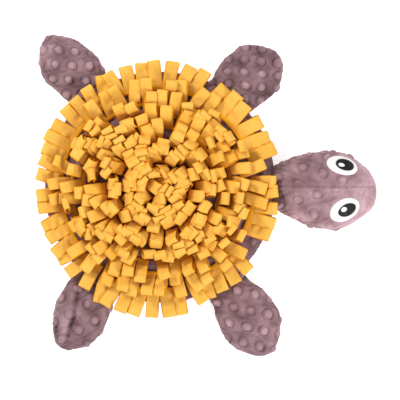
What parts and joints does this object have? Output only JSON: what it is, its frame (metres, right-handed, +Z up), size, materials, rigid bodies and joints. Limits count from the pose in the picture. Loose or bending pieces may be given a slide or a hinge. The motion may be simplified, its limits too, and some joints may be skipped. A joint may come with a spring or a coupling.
{
  "type": "turtle-shaped dog foraging toy",
  "caption": "Padded plush turtle whose round shell carries rings of slit, folded felt loops in which dry treats are hidden for a dog to find.",
  "frame": {"origin": "on the resting plane under the centre of the round shell", "axes": "+X from the shell to the head, +Y to the turtle's left, +Z up"},
  "size_m": [0.4018, 0.3833, 0.0659],
  "materials": {
    "plush": "mauve dimpled plush with a short pile",
    "felt": "matt yellow felt",
    "white_felt": "matt white felt",
    "black_thread": "black satin-stitch embroidery"
  },
  "bodies": {
    "root": {"eye_white_left": "white_felt", "eye_white_right": "white_felt", "flipper_front_left": "plush", "flipper_front_right": "plush", "flipper_rear_left": "plush", "flipper_rear_right": "plush", "fringe_1_1": "felt", "fringe_1_2": "felt", "fringe_1_3": "felt", "fringe_1_4": "felt", "fringe_1_5": "felt", "fringe_1_6": "felt", "fringe_1_7": "felt", "fringe_2_1": "felt", "fringe_2_2": "felt", "fringe_2_3": "felt", "fringe_2_4": "felt", "fringe_2_5": "felt", "fringe_3_1": "felt", "fringe_3_2": "felt", "fringe_3_3": "felt", "fringe_3_4": "felt", "fringe_3_5": "felt", "fringe_4_1": "felt", "fringe_4_2": "felt", "fringe_4_3": "felt", "fringe_4_4": "felt", "fringe_5_1": "felt", "fringe_5_2": "felt", "fringe_5_3": "felt", "fringe_5_4": "felt", "fringe_6_1": "felt", "fringe_6_2": "felt", "fringe_6_3": "felt", "fringe_6_4": "felt", "fringe_7_1": "felt", "fringe_7_2": "felt", "fringe_8_1": "felt", "fringe_centre": "felt", "head": "plush", "pupil_left": "black_thread", "pupil_right": "black_thread", "shell": "plush"}
  },
  "joints": []
}
